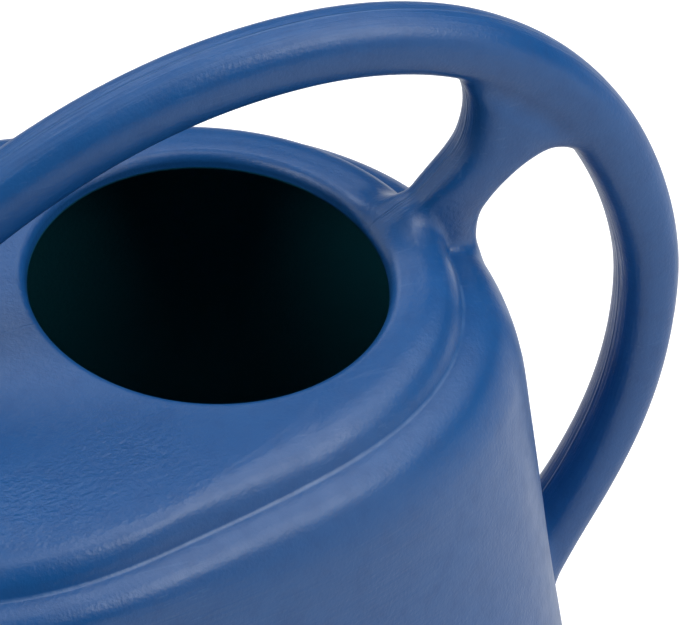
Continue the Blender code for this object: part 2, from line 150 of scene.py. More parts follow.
def apply_modifiers(obj):
    graph = bpy.context.evaluated_depsgraph_get()
    result = bpy.data.meshes.new_from_object(obj.evaluated_get(graph))
    obj.modifiers.clear()
    obj.data = result


def run_along(points):
    """Distance along a path to each of its points."""
    return np.append(0, np.cumsum(np.linalg.norm(np.diff(points, axis=0), axis=1)))


def unit(vectors):
    return vectors / np.linalg.norm(vectors, axis=-1, keepdims=True)


def rounded_square(turn, along_power, across_power):
    """A unit circle made squarer: along and across, at each angle."""
    cosine, sine = np.cos(turn), np.sin(turn)
    along = np.sign(cosine) * np.abs(cosine) ** (2 / along_power)
    across = np.sign(sine) * np.abs(sine) ** (2 / across_power)
    return along, across


def tree_through(points):
    tree = KDTree(len(points))
    for i, point in enumerate(points):
        tree.insert(point, i)
    tree.balance()
    return tree


def curve_through(points, spacing):
    """Points at even steps on the centripetal Catmull-Rom curve through points of any dimension."""
    points = np.array(points, float)
    path = np.vstack([2 * points[0] - points[1], points, 2 * points[-1] - points[-2]])
    knots = np.append(0, np.cumsum(np.sqrt(np.linalg.norm(np.diff(path, axis=0), axis=1))))
    dense = []
    for i in range(1, len(path) - 2):
        p, t = path[i - 1 : i + 3], knots[i - 1 : i + 3]
        for at in np.linspace(t[1], t[2], 32, endpoint=False):
            first, middle, last = (mix(p[k], p[k + 1], t[k], t[k + 1], at) for k in range(3))
            early, late = mix(first, middle, t[0], t[2], at), mix(middle, last, t[1], t[3], at)
            dense.append(mix(early, late, t[1], t[2], at))
    dense = np.array([*dense, points[-1]])
    run = run_along(dense)
    count = max(2, int(round(run[-1] / spacing)) + 1)
    wanted = np.linspace(0, run[-1], count)
    return np.column_stack([np.interp(wanted, run, dense[:, i]) for i in range(dense.shape[1])])


def mix(a, b, start, end, at):
    return (a * (end - at) + b * (at - start)) / (end - start)


def ironed(path, reach):
    """The path with waves shorter than reach smoothed away, its ends kept."""
    steps = np.linalg.norm(np.diff(path, axis=0), axis=1).mean()
    half = int(3 * reach / steps)
    weights = np.exp(-0.5 * (np.arange(-half, half + 1) * steps / reach) ** 2)
    weights /= weights.sum()
    before = 2 * path[0] - path[1 : half + 1][::-1]
    after = 2 * path[-1] - path[-half - 1 : -1][::-1]
    longer = np.vstack([before, path, after])
    return np.column_stack([np.convolve(longer[:, i], weights, "valid") for i in range(path.shape[1])])


# -------- tank

def crease_turns(around):
    """Angles that space the crease's outline evenly."""
    turn = np.linspace(0, 2 * math.pi, 6000)
    run = run_along(egg(0, 0, 0, turn))
    return np.interp(np.linspace(0, run[-1], around, endpoint=False), run, turn)


def egg(grow_rear, grow_side, grow_front, turn, shape=CAP_PLAN):
    """A plan of the tank: a blunt oval, narrower at the rear, grown from the given shape."""
    middle, rear, front, half_width, taper, rear_power, front_power, side_power = shape
    grown_rear, grown_front = rear + (grow_rear + grow_front) / 2, front + (grow_rear + grow_front) / 2
    behind = np.cos(turn) > 0
    along, across = rounded_square(turn, np.where(behind, rear_power, front_power), side_power)
    reach = np.where(behind, grown_rear, grown_front)
    x = OPENING_X + middle + (grow_rear - grow_front) / 2 + reach * along
    y = (half_width + grow_side) * across * (1 - taper * along * reach / grown_rear)
    return np.column_stack([x, y])


def wall_outline(z, grow_rear, grow_side, grow_front, turn):
    """The wall's plan at a level: the cap's at the crease, its own a little below."""
    share = min(1.0, (CREASE_Z - z) / PLANS_MEET)
    share = share * share * (3 - 2 * share)
    cap = egg(grow_rear, grow_side, grow_front, turn)
    return cap + (egg(grow_rear, grow_side, grow_front, turn, WALL_PLAN) - cap) * share


def opening_outline(grow, turn):
    x = OPENING_X + (OPENING_HALF_LENGTH + grow) * np.cos(turn)
    y = (OPENING_HALF_WIDTH + grow) * np.sin(turn)
    return np.column_stack([x, y])


# inset from the crease and drop below the top, along the cap's rounded edge
CAP_EDGE = (
    (0.0, TOP_Z - CREASE_Z),
    (0.0008, 0.0104),
    (0.0032, 0.0068),
    (0.0080, 0.0032),
    (0.0150, 0.0012),
    (0.0240, 0.0003),
)
# level, then how far outside the crease's outline at the rear, side and front
WALL_ROWS = (
    (CREASE_Z, 0.0, 0.0, 0.0),
    (0.2264, 0.0032, 0.0030, 0.0030),
    (0.2245, 0.0078, 0.0068, 0.0064),
    (0.2213, 0.0118, 0.0100, 0.0096),
    (0.2163, 0.0150, 0.0123, 0.0120),
    (0.2095, 0.0175, 0.0137, 0.0138),
    (0.2010, 0.0195, 0.0145, 0.0150),
    (0.1830, 0.0220, 0.0150, 0.0180),
    (0.1550, 0.0258, 0.0153, 0.0210),
    (0.1150, 0.0311, 0.0157, 0.0245),
    (0.0750, 0.0372, 0.0162, 0.0270),
    (0.0400, 0.0420, 0.0165, 0.0290),
    (0.0140, 0.0445, 0.0166, 0.0300),
    (0.0050, 0.0430, 0.0150, 0.0285),
    (0.0012, 0.0393, 0.0112, 0.0248),
    (0.0000, 0.0345, 0.0062, 0.0200),
)
UPPER_ROWS = 7  # the rows of the shoulder, which are finer
# the foot's flat ring and the step up to the recess inside it: growth at the rear, side and front, then level
FOOT_ROWS = (
    ((0.0200, -0.0080, 0.0060), 0.0),
    ((0.0188, -0.0092, 0.0048), 0.0006),
    ((0.0158, -0.0122, 0.0018), BASE_RECESS - 0.0006),
    ((0.0146, -0.0134, 0.0006), BASE_RECESS),
)
RECESS_REACH = 0.0850  # from the recess's edge towards its middle


def tank_rings(around=AROUND, coarse=1.0):
    """Rings of the tank's outside, from the trimmed edge inside the opening to the middle of the base."""
    turn = crease_turns(around)
    rings = []

    def add(plan, z):
        rings.append(np.column_stack([plan, np.broadcast_to(z, len(plan))]))

    for drop in np.linspace(1.4, 1.0, 3)[:-1]:
        add(opening_outline(-LIP_RADIUS * 0.25 * (drop - 1), turn), TOP_Z - drop * LIP_RADIUS)
    for angle in np.linspace(math.pi / 2, 0, int(9 / coarse) + 2):
        out, drop = 1 - math.sin(angle), 1 - math.cos(angle)
        add(opening_outline(LIP_RADIUS * out, turn), TOP_Z - LIP_RADIUS * drop)

    crease = egg(0, 0, 0, turn)
    lip = opening_outline(LIP_RADIUS, turn)
    inward = lip - crease
    room = np.linalg.norm(inward, axis=1, keepdims=True)
    inward /= room
    squeeze = np.minimum(1.15 - 0.35 * np.cos(turn)[:, None], 0.8 * room / CAP_EDGE[-1][0])
    edge = curve_through(CAP_EDGE, 0.0013 * coarse)[::-1]
    last = crease + inward * edge[0, 0] * squeeze
    flats = int(16 / coarse)
    for i in range(1, flats):
        share = i / flats
        add(lip + (last - lip) * share, TOP_Z - edge[0, 1] * share**2)
    for inset, drop in edge[:-1]:
        add(crease + inward * inset * squeeze, TOP_Z - drop)
    add(crease, CREASE_Z)

    rows = curve_through(WALL_ROWS[:UPPER_ROWS], 0.0016 * coarse)[1:]
    lower = curve_through(WALL_ROWS[UPPER_ROWS - 2 : -3], 0.0060 * coarse)
    lower = lower[lower[:, 0] < WALL_ROWS[UPPER_ROWS - 1][0] - 0.001]
    foot = curve_through(WALL_ROWS[-5:], 0.0014 * coarse)
    foot = foot[foot[:, 0] < WALL_ROWS[-4][0] - 0.001]
    for z, rear, side, front in np.vstack([rows, lower, foot]):
        add(wall_outline(z, rear, side, front, turn), max(z, 0.0))
    for (rear, side, front), z in FOOT_ROWS:
        add(egg(rear, side, front, turn, WALL_PLAN), z)
    rear, side = FOOT_ROWS[-1][0][:2]
    for share in (0.25, 0.5, 0.75):
        inward = share * RECESS_REACH
        add(egg(rear - inward, side - inward, -inward, turn, WALL_PLAN), BASE_RECESS)
    return np.array(rings)


def outward_normals(rings):
    down = np.gradient(rings, axis=0)
    around = np.roll(rings, -1, axis=1) - np.roll(rings, 1, axis=1)
    return unit(np.cross(down, around))


def make_shell():
    """The tank's outside and inside as one closed skin of the wall's thickness."""
    outside = tank_rings()
    inside = tank_rings(coarse=2.5)
    inside = inside - outward_normals(inside) * WALL
    floor = inside[:, :, 2] < BASE_RECESS + WALL
    inside[:, :, 2] = np.where(floor, BASE_RECESS + WALL, inside[:, :, 2])
    return closed_rings("moulding", np.concatenate([inside[::-1], outside]))


def filled_tank(name, grow, around=AROUND, coarse=1.0):
    rings = tank_rings(around, coarse)[2:]
    return closed_rings(name, rings + outward_normals(rings) * grow)


# -------- handle, brace and neck

BOW = (
    (-0.1380, -0.0260), (-0.1290, 0.0000), (-0.1130, 0.0250), (-0.0930, 0.0440), (-0.0697, 0.0587),
    (-0.0357, 0.0734), (-0.0017, 0.0814), (0.0324, 0.0829), (0.0600, 0.0790), (0.0861, 0.0698),
    (0.1060, 0.0572), (0.1230, 0.0411), (0.1378, 0.0203), (0.1496, -0.0061), (0.1560, -0.0320),
    (0.1572, -0.0514), (0.1538, -0.0803), (0.1467, -0.1039), (0.1357, -0.1264), (0.1252, -0.1428),
    (0.1146, -0.1598), (0.1026, -0.1800),
)
BOW_LENGTH = 0.563
# depth and width of the bow as shares of the handle's, at shares of its length
BOW_DEPTHS = (
    (0, 0.05, 0.14, 0.50, 0.56, 0.63, 0.70, 0.78, 0.90, 0.96, 1),
    (1.6, 1.3, 1.08, 0.97, 1.00, 1.00, 0.94, GRIP, GRIP, 1, 1.35),
)
BOW_WIDTHS = ((0.0, 0.05, 0.14, 0.86, 0.95, 1.0), (1.30, 1.12, 1.0, 1.0, 1.08, 1.25))
BRACE_FRONT = (
    (0.0880, 0.0660), (0.0888, 0.0540), (0.0905, 0.0460), (0.0905, 0.0380), (0.0883, 0.0294),
    (0.0838, 0.0232), (0.0768, 0.0167), (0.0690, 0.0090), (0.0640, 0.0000), (0.0620, -0.0120),
)
BRACE_REAR = (
    (0.1365, 0.0195), (0.1265, 0.0185), (0.1190, 0.0195), (0.1130, 0.0182), (0.1075, 0.0158),
    (0.1020, 0.0115), (0.0978, 0.0065), (0.0948, 0.0005), (0.0938, -0.0080), (0.0945, -0.0220),
)
BRACE_HALF_WIDTHS = (0.0050, 0.0098, 0.0101, 0.0101, 0.0099, 0.0095, 0.0089, 0.0078, 0.0070, 0.0068)


def in_frame(points):
    return np.array(points) + (OPENING_X, RIM_Z)


def section(centre, half_x, half_z, half_width, sides, power=SECTION_POWER):
    """A rounded section: half depth in the plane y = 0, half width across it."""
    turn = 2 * math.pi * (np.arange(sides) + 0.5) / sides
    out, across = rounded_square(turn, power, power)
    return np.column_stack([centre[0] + half_x * out, half_width * across, centre[1] + half_z * out])


def bow_path(spacing):
    return ironed(curve_through(in_frame(BOW), spacing), 0.005)


def make_bow(name, spacing=FINE, sides=TUBE_SIDES):
    path = bow_path(spacing)
    along = np.linspace(0, 1, len(path))
    depth, width = np.interp(along, *BOW_DEPTHS), np.interp(along, *BOW_WIDTHS)
    sizes = np.column_stack([depth * HANDLE_HALF_DEPTH, width * HANDLE_HALF_WIDTH])
    sizes = ironed(np.column_stack([along * BOW_LENGTH, sizes]), 0.008)[:, 1:]
    tangents = unit(np.gradient(path, axis=0))
    outwards = np.column_stack([-tangents[:, 1], tangents[:, 0]]) * sizes[:, :1]
    rows = zip(path, outwards, sizes[:, 1])
    return closed_rings(name, [section(c, h[0], h[1], w, sides) for c, h, w in rows])


def make_brace(name, spacing=FINE, sides=TUBE_SIDES):
    both = np.column_stack([in_frame(BRACE_FRONT), in_frame(BRACE_REAR), BRACE_HALF_WIDTHS])
    both = ironed(curve_through(both, spacing), 0.0025)
    middles, halves = (both[:, :2] + both[:, 2:4]) / 2, (both[:, :2] - both[:, 2:4]) / 2
    rows = zip(middles, halves, both[:, 4])
    return closed_rings(name, [section(c, h[0], h[1], w, sides, BRACE_POWER) for c, h, w in rows])


NECK_TO_NUT = 0.0330  # from the wall to the point that the record gives on the axis


def neck_axis():
    """A point on the neck's axis at its wall, and the direction away from the tank."""
    axis = Vector(joints["spout_release"]["axis"]).normalized()
    on_axis = Vector(joints["nut_turn"]["pos_m"])
    return on_axis - axis * NECK_TO_NUT, axis


def rose_axis():
    """The middle of the spout's end, where the rose sits, and the direction out of the spout."""
    joint = joints["rose_turn"]
    return Vector(joint["pos_m"]), Vector(joint["axis"]).normalized()


SIDE = Vector((0, 1, 0))


def circle_about(axis, turn):
    return np.outer(np.cos(turn), SIDE) + np.outer(np.sin(turn), axis.cross(SIDE))


def turned(name, base, axis, profile, sides=96, closed=False):
    """A profile of (radius, distance along the axis) turned about an axis."""
    axis = Vector(axis).normalized()
    circle = circle_about(axis, 2 * math.pi * np.arange(sides) / sides)
    rings = [np.array(base) + np.array(axis) * distance + circle * radius for radius, distance in profile]
    return looped_rings(name, rings) if closed else closed_rings(name, rings)


# -------- the moulding
# tank, handle, brace and neck in one skin

class Surface:
    """Signed distance to a closed mesh, for blending where two shapes meet."""

    def __init__(self, obj, discard=True):
        mesh = obj.data
        self.corners = [tuple(polygon.vertices) for polygon in mesh.polygons]
        self.points = [vertex.co.copy() for vertex in mesh.vertices]
        self.normals = [vertex.normal.copy() for vertex in mesh.vertices]
        self.tree = BVHTree.FromPolygons(self.points, self.corners)
        if discard:
            bpy.data.objects.remove(obj)

    def at(self, points):
        """Distances, negative inside, and the direction in which each grows."""
        distances, directions = np.empty(len(points)), np.empty((len(points), 3))
        for i, point in enumerate(points):
            place, normal, face, distance = self.tree.find_nearest(point)
            away = Vector(point) - place
            facing = away.dot(normal)
            if abs(facing) < 0.98 * distance:
                # nearest an edge or a corner, where only the corner's own normal tells inside from outside
                corner = min(self.corners[face], key=lambda k: (self.points[k] - place).length_squared)
                facing = away.dot(self.normals[corner])
            sign = 1.0 if facing > 0 else -1.0
            distances[i] = sign * distance
            directions[i] = away * (sign / distance) if distance > 1e-6 else normal
        return distances, directions


def soft_union(first, second, reach):
    """The smooth minimum of two distance fields, each given as (distance, direction)."""
    (a, a_way), (b, b_way) = first, second
    gap = np.clip(0.5 + 0.5 * (b - a) / reach, 0, 1)
    value = b * (1 - gap) + a * gap - reach * gap * (1 - gap)
    way = b_way * (1 - gap)[:, None] + a_way * gap[:, None]
    return value, way


BLEND_FORK, BLEND_ROOT, BLEND_NECK = 0.0060, 0.0085, 0.0050
BLEND_FOOT_FRONT, BLEND_FOOT_REAR = 0.0180, 0.0045
FOOT_FADES = (0.067, 0.080)  # where, behind the opening's middle, the first gives way to the second
BAR_GRAIN = 0.0014
ROUNDS = 14  # of evening out the points near a joint


def project(places, field, rounds):
    """Moves points onto the surface where a field is zero."""
    for _ in range(rounds):
        value, way = field(places)
        size = (way**2).sum(axis=1)
        places = places - way * (value / np.maximum(size, 0.2))[:, None]
    return places


def make_bars():
    """The bow and the brace as one evenly meshed body, flowing into each other at the fork."""
    bow = Surface(make_bow("bow_field", FINE / 2, 2 * TUBE_SIDES))
    brace = Surface(make_brace("brace_field", FINE / 2, 2 * TUBE_SIDES))
    bars = make_bow("bars")
    boolean(bars, make_brace("brace"), "UNION")
    step = bars.modifiers.new("even", "REMESH")
    step.mode = "VOXEL"
    step.voxel_size = BAR_GRAIN
    apply_modifiers(bars)
    places = np.array([vertex.co for vertex in bars.data.vertices])
    ends = (places[:, 2] < RIM_Z - 0.160) | (places[:, 0] < OPENING_X - 0.130)

    def field(points):
        return soft_union(bow.at(points), brace.at(points), BLEND_FORK)

    places = np.where(ends[:, None], places, project(places, field, 3))
    bars.data.vertices.foreach_set("co", places.ravel())
    return bars


def blended(shapes, points):
    """The moulding's outside as one smooth field."""
    tank, bars, neck = shapes
    front = points[:, 0] < NECK_ZONE_X
    value, way = np.empty(len(points)), np.empty((len(points), 3))
    some = points[front]
    value[front], way[front] = soft_union(tank.at(some), neck.at(some), BLEND_NECK)
    some = points[~front]
    foot = np.interp(some[:, 0] - OPENING_X, FOOT_FADES, (BLEND_FOOT_FRONT, BLEND_FOOT_REAR))
    reach = np.where((some[:, 2] > RIM_Z - 0.030) & (some[:, 0] > OPENING_X), foot, BLEND_ROOT)
    value[~front], way[~front] = soft_union(tank.at(some), bars.at(some), reach)
    return value, way


def make_moulding():
    base, axis = neck_axis()
    neck_profile = [(NECK_RADIUS, NECK_LENGTH), (NECK_RADIUS, -0.010)]
    bars = make_bars()
    shapes = (
        Surface(filled_tank("tank_field", 0, 2 * AROUND, 0.6)),
        Surface(bars, discard=False),
        Surface(turned("neck_field", base, axis, neck_profile, 192)),
    )
    moulding = make_shell()
    thread_part = np.linspace(NECK_LENGTH - 0.002, NECK_COLLAR + 0.0004, 12)
    collar_part = np.linspace(NECK_COLLAR - 0.0015, -0.010, 12)
    neck_rows = [(THREAD_ROOT - 0.0006, NECK_LENGTH), (THREAD_ROOT, NECK_LENGTH - 0.0006)]
    neck_rows += [(THREAD_ROOT, distance) for distance in thread_part]
    neck_rows += [(NECK_RADIUS - 0.0003, NECK_COLLAR), (NECK_RADIUS, NECK_COLLAR - 0.0004)]
    neck_rows += [(NECK_RADIUS, distance) for distance in collar_part]
    boolean(bars, turned("neck_stock", base, axis, neck_rows), "UNION")
    boolean(bars, filled_tank("hollow", -WALL / 2), "DIFFERENCE")
    boolean(moulding, bars, "UNION")
    bore_rows = [(NECK_BORE, NECK_LENGTH + 0.01), (NECK_BORE, -0.02)]
    boolean(moulding, turned("neck_bore", base, axis, bore_rows), "DIFFERENCE")
    soften_joints(moulding, shapes)
    mark_moulding(moulding, shapes[0])
    return moulding


def soften_joints(obj, shapes):
    """Moves the points near a joint onto the blended surface, evening out the mesh there."""
    work = bmesh.new()
    work.from_mesh(obj.data)
    # the points are listed again after each step, because each step remakes part of the mesh
    near = joint_points(work, shapes)
    edges = {edge for vertex in near for edge in vertex.link_edges if edge.calc_length() > 0.0016}
    edges = sorted(edges, key=lambda edge: edge.index)
    bmesh.ops.subdivide_edges(work, edges=edges, cuts=1, use_grid_fill=True)
    near = joint_points(work, shapes)
    bmesh.ops.triangulate(work, faces=list({face for vertex in near for face in vertex.link_faces}))
    near = joint_points(work, shapes)
    bmesh.ops.remove_doubles(work, verts=near, dist=0.00060)
    near = joint_points(work, shapes)
    faces = list({face for vertex in near for face in vertex.link_faces})
    edges = list({edge for vertex in near for edge in vertex.link_edges})
    bmesh.ops.beautify_fill(work, faces=faces, edges=edges, method="ANGLE")
    near = joint_points(work, shapes)
    work.verts.index_update()
    indices = np.array([vertex.index for vertex in near])
    starts, ends = [], []
    for k, vertex in enumerate(near):
        for edge in vertex.link_edges:
            starts.append(k)
            ends.append(edge.other_vert(vertex).index)
    starts, ends = np.array(starts), np.array(ends)
    places = np.array([vertex.co for vertex in work.verts])
    count = np.bincount(starts, minlength=len(near))[:, None]

    def field(points):
        return blended(shapes, points)

    for step in range(ROUNDS):
        if step:
            total = np.zeros((len(near), 3))
            np.add.at(total, starts, places[ends])
            places[indices] += 0.5 * (total / count - places[indices])
        places[indices] = project(places[indices], field, 2 if step in (0, ROUNDS - 1) else 1)
    for vertex, place in zip(near, places[indices]):
        vertex.co = place
    bmesh.ops.recalc_face_normals(work, faces=work.faces)
    work.to_mesh(obj.data)
    work.free()
    obj.data.shade_smooth()


def joint_points(work, shapes):
    """Points of the outside within reach of a second shape."""
    vertices = list(work.verts)
    places = np.array([vertex.co for vertex in vertices])
    tank, bars, neck = shapes
    front = places[:, 0] < NECK_ZONE_X
    chosen = []
    for zone, others, reach in ((front, (tank, neck), 0.0065), (~front, (tank, bars), BLEND_FOOT_FRONT)):
        some = np.flatnonzero(handle_zone(places) & zone)
        if len(some) == 0:
            continue
        distances = np.sort([shape.at(places[some])[0] for shape in others], axis=0)
        chosen.append(some[(np.abs(distances[0]) < 0.0006) & (distances[1] < reach)])
    return [vertices[i] for i in np.concatenate(chosen)]


def handle_zone(places):
    """Roughly where the bars and the neck are, to save measuring the rest."""
    x, y, z = places.T
    handle = (np.abs(y) < 0.030) & (z > 0.055) & ((x > OPENING_X + 0.045) | (z > TOP_Z - 0.030))
    neck = (np.abs(y) < 0.036) & (x < NECK_ZONE_X) & (z > 0.045) & (z < 0.150)
    return handle | neck


def crease_distance(places):
    """How far each point is from the fold round the cap."""
    line = tree_through([(x, y, CREASE_Z) for x, y in egg(0, 0, 0, crease_turns(900))])
    return np.array([line.find(place)[2] for place in places])


def mark_moulding(obj, tank):
    """Stores how far each point is from the fold, where a highlight is painted, off the tank and along the bow,
    and if it is inside, where shade is painted.
    """
    mesh = obj.data
    places = np.array([vertex.co for vertex in mesh.vertices])
    near_top = places[:, 2] > 0.190
    fold = np.full(len(places), 1.0)
    fold[near_top] = crease_distance(places[near_top])

    zone = handle_zone(places) & (places[:, 0] > NECK_ZONE_X)
    away = np.zeros(len(places))
    away[zone] = np.maximum(tank.at(places[zone])[0], 0)
    path = bow_path(FINE)
    run = run_along(path)
    tree = tree_through([(x, 0, z) for x, z in path])
    along = np.zeros(len(places))
    on_bar = np.flatnonzero(away > 0)
    along[on_bar] = [run[tree.find((places[i][0], 0, places[i][2]))[1]] for i in on_bar]

    # points inside the tank, which get painted shade in their colour and a rougher surface
    inner = np.zeros(len(places))
    inner[~zone] = tank.at(places[~zone])[0] < -WALL * 0.6
    for name, values in (("fold", fold), ("away", away), ("along", along), ("inner", inner)):
        layer = mesh.attributes.new(name, "FLOAT", "POINT")
        layer.data.foreach_set("value", values.astype(np.float32))


# -------- spout, nut and rose

FIT_GAP = 0.0003
GASKET_THICKNESS = 0.0020
SPOUT_ROOT_RADIUS = 0.0200
SPOUT_TIP_RADIUS = 0.0120
SPOUT_WALL = 0.0024
SPOUT_FLANGE = 0.0040
SPOUT_STRAIGHT = 0.0120
TIP_SOCKET = 0.0240
# the ring that the rose's socket comes up to: distance back from the tip, and height
STOP_RING = ((0.0239, 0), (0.0234, 0.0010), (0.0230, 0.0013), (0.0214, 0.0013), (0.0210, 0.0010), (0.0206, 0))

NUT_RADIUS = 0.0290
NUT_RIB = 0.0013
NUT_RIBS = 18
NUT_LIP = 0.0035
NUT_SKIRT = 0.0180
NUT_CLEARANCE = 0.0006

ROSE_RADIUS = 0.0360
ROSE_DEPTH = 0.0340
ROSE_RIM = 0.0060
ROSE_WALL = 0.0020
ROSE_CLEARANCE = 0.00035
SEAL_WIDTH = 0.0026
SEAL_RADIUS = 0.0146
SEAL_START = -0.0120
SOCKET_DEPTH = TIP_SOCKET - 0.0040
FACE_THICKNESS = 0.0020
FACE_DOME = 0.0045
HOLE_RADIUS = 0.0013
HOLE_RINGS = 4


def rounded(profile, radius, steps=4):
    """The closed profile with each corner turned into a small curve."""
    profile = np.array(profile, float)
    result = []
    for i, corner in enumerate(profile):
        before, after = profile[i - 1] - corner, profile[(i + 1) % len(profile)] - corner
        lengths = np.linalg.norm(before), np.linalg.norm(after)
        cut = min(radius, 0.42 * lengths[0], 0.42 * lengths[1])
        start, end = corner + before * cut / lengths[0], corner + after * cut / lengths[1]
        for t in np.linspace(0, 1, steps):
            result.append(start * (1 - t) ** 2 + corner * 2 * t * (1 - t) + end * t**2)
    return np.array(result)


def rows_between(profile, spacing):
    """The closed profile with points added so that no step is longer than spacing."""
    result = []
    for start, end in zip(profile, np.roll(profile, -1, axis=0)):
        pieces = max(1, int(np.ceil(np.linalg.norm(end - start) / spacing)))
        result += [start + (end - start) * i / pieces for i in range(pieces)]
    return np.array(result)


def spout_course(count):
    """Middle of the spout: straight through the nut, a gentle rise, and straight again at the tip."""
    base, axis = neck_axis()
    root = base + axis * (NECK_LENGTH + 2 * FIT_GAP + GASKET_THICKNESS)
    tip, tip_axis = rose_axis()
    start = root + axis * SPOUT_STRAIGHT
    end = tip - tip_axis * TIP_SOCKET
    reach = (end - start).length / 3
    curve = []
    for t in np.linspace(0, 1, count):
        a, b, c, d = (1 - t) ** 3, 3 * (1 - t) ** 2 * t, 3 * (1 - t) * t**2, t**3
        curve.append(start * a + (start + axis * reach) * b + (end - tip_axis * reach) * c + end * d)
    return root, axis, curve, tip, tip_axis


def circles(path, radii, turns, ridge):
    """Circles about a path in the plane y = 0, with a fine ridge along its top and underside."""
    path = np.array(path)
    ahead = unit(np.gradient(path, axis=0))
    rings = []
    for centre, way, radius, height in zip(path, ahead, radii, ridge):
        up = np.array((-way[2], 0, way[0]))
        nearest = np.minimum(np.abs(turns), np.abs(np.abs(turns) - math.pi))
        grown = radius + height * np.exp(-((nearest * radius / 0.0005) ** 2))
        across = np.outer(np.sin(turns) * grown, (0, 1, 0))
        rings.append(centre + np.outer(np.cos(turns) * grown, up) + across)
    return rings


def make_spout():
    root, axis, curve, tip, tip_axis = spout_course(90)
    base_turns = np.linspace(-math.pi, math.pi, 80, endpoint=False)
    fine = np.array([-0.06, -0.03, -0.015, 0.015, 0.03, 0.06])
    turns = np.sort(np.concatenate([base_turns, fine, np.mod(fine + 2 * math.pi, 2 * math.pi) - math.pi]))
    turns = np.unique(np.round(turns, 5))
    taper = np.linspace(SPOUT_ROOT_RADIUS, SPOUT_TIP_RADIUS, len(curve))
    course, radii, ridge = [], [], []

    def outer(point, radius, height=0.0):
        course.append(np.array(point))
        radii.append(radius)
        ridge.append(height)

    for back, out in ((0.0, -0.0006), (0.0002, -0.0002), (0.0006, 0.0), (SPOUT_FLANGE - 0.0006, 0.0)):
        outer(root + axis * back, NECK_RADIUS + out)
    outer(root + axis * (SPOUT_FLANGE - 0.0002), NECK_RADIUS - 0.0002)
    outer(root + axis * SPOUT_FLANGE, NECK_RADIUS - 0.0006)
    outer(root + axis * (SPOUT_FLANGE + 0.0001), SPOUT_ROOT_RADIUS + 0.0002)
    outer(root + axis * (SPOUT_FLANGE + 0.0004), SPOUT_ROOT_RADIUS)
    windows = np.clip(np.minimum(np.arange(len(curve)) - 3, len(curve) - 6 - np.arange(len(curve))) / 4, 0, 1)
    for point, radius, window in zip(curve, taper, windows):
        outer(point, radius, 0.00032 * window)
    for back, grow in STOP_RING:
        outer(tip - tip_axis * back, SPOUT_TIP_RADIUS + grow)
    for back in np.linspace(0.0195, 0.0012, 8):
        outer(tip - tip_axis * back, SPOUT_TIP_RADIUS)
    for back, out in ((0.0004, -0.0001), (0.0001, -0.0004), (0.0, -0.0008)):
        outer(tip - tip_axis * back, SPOUT_TIP_RADIUS + out)
    rings = circles(course, radii, turns, ridge)
    inner_course = [np.array(point) for point in (root, *curve, tip - tip_axis * 0.0004, tip)]
    tip_bore = SPOUT_TIP_RADIUS - SPOUT_WALL
    inner_radii = [SPOUT_ROOT_RADIUS - SPOUT_WALL, *(taper - SPOUT_WALL), tip_bore, tip_bore]
    rings += circles(inner_course, inner_radii, turns, [0] * len(inner_course))[::-1]
    return looped_rings("spout_tube", rings)


def make_nut():
    """The ribbed coupling nut: its lip bears on the spout's flange, its skirt reaches back over the neck."""
    base, axis = neck_axis()
    shoulder = NECK_LENGTH + 2 * FIT_GAP + GASKET_THICKNESS + SPOUT_FLANGE + FIT_GAP
    base = base + axis * shoulder
    skirt = -(shoulder - NECK_LENGTH) - NUT_SKIRT
    hole, inside = SPOUT_ROOT_RADIUS + 0.0004, NECK_RADIUS + NUT_CLEARANCE
    corners = [
        (hole, 0), (hole, NUT_LIP), (NUT_RADIUS - 0.0030, NUT_LIP), (NUT_RADIUS, NUT_LIP - 0.0022),
        (NUT_RADIUS, skirt + 0.0022), (NUT_RADIUS + 0.0010, skirt + 0.0020), (NUT_RADIUS + 0.0010, skirt),
        (inside, skirt), (inside, 0),
    ]
    profile = rows_between(rounded(corners, 0.0008), 0.0022)
    turn = 2 * math.pi * np.arange(NUT_RIBS * 14) / (NUT_RIBS * 14)
    wave = np.clip(np.cos(turn * NUT_RIBS) * 1.25 + 0.35, 0, 1)
    rib = NUT_RIB * wave * wave * (3 - 2 * wave)
    circle = circle_about(axis, turn)
    rings = []
    for radius, distance in profile:
        held = np.clip((radius - NUT_RADIUS + 0.0012) / 0.0012, 0, 1)
        along = np.clip((distance - skirt - 0.0018) / 0.0016, 0, 1)
        along *= np.clip((NUT_LIP - 0.0004 - distance) / 0.0020, 0, 1)
        ribbed = (radius + rib * held * along)[:, None]
        rings.append(np.array(base) + np.array(axis) * distance + circle * ribbed)
    return looped_rings("coupling_nut", rings)


# the thread's section: how far out it stands and how far along the neck
THREAD_SECTION = (
    (-0.0006, -0.0016),
    (0.0004, -0.0013),
    (0.0009, -0.0006),
    (0.0009, 0.0006),
    (0.0004, 0.0013),
    (-0.0006, 0.0016),
)
THREAD_PITCH = 0.0060
THREAD_TURNS = 2.25


def make_thread():
    """The coarse thread on the neck, as a low ridge wound two and a quarter times."""
    base, axis = neck_axis()
    other = axis.cross(SIDE)
    start = NECK_COLLAR + 0.0032
    rings = []
    for t in np.linspace(0, 1, 260):
        turn = 2 * math.pi * THREAD_TURNS * t
        radial = np.array(SIDE) * math.cos(turn) + np.array(other) * math.sin(turn)
        size = max(min(1.0, 10 * t, 10 * (1 - t)), 0.05)
        middle = start + THREAD_PITCH * THREAD_TURNS * t
        ring = []
        for out, along in THREAD_SECTION:
            radius = THREAD_ROOT + (out * size if out > 0 else out)
            ring.append(np.array(base) + np.array(axis) * (middle + along * size) + radial * radius)
        rings.append(ring)
    return closed_rings("neck_thread", rings)


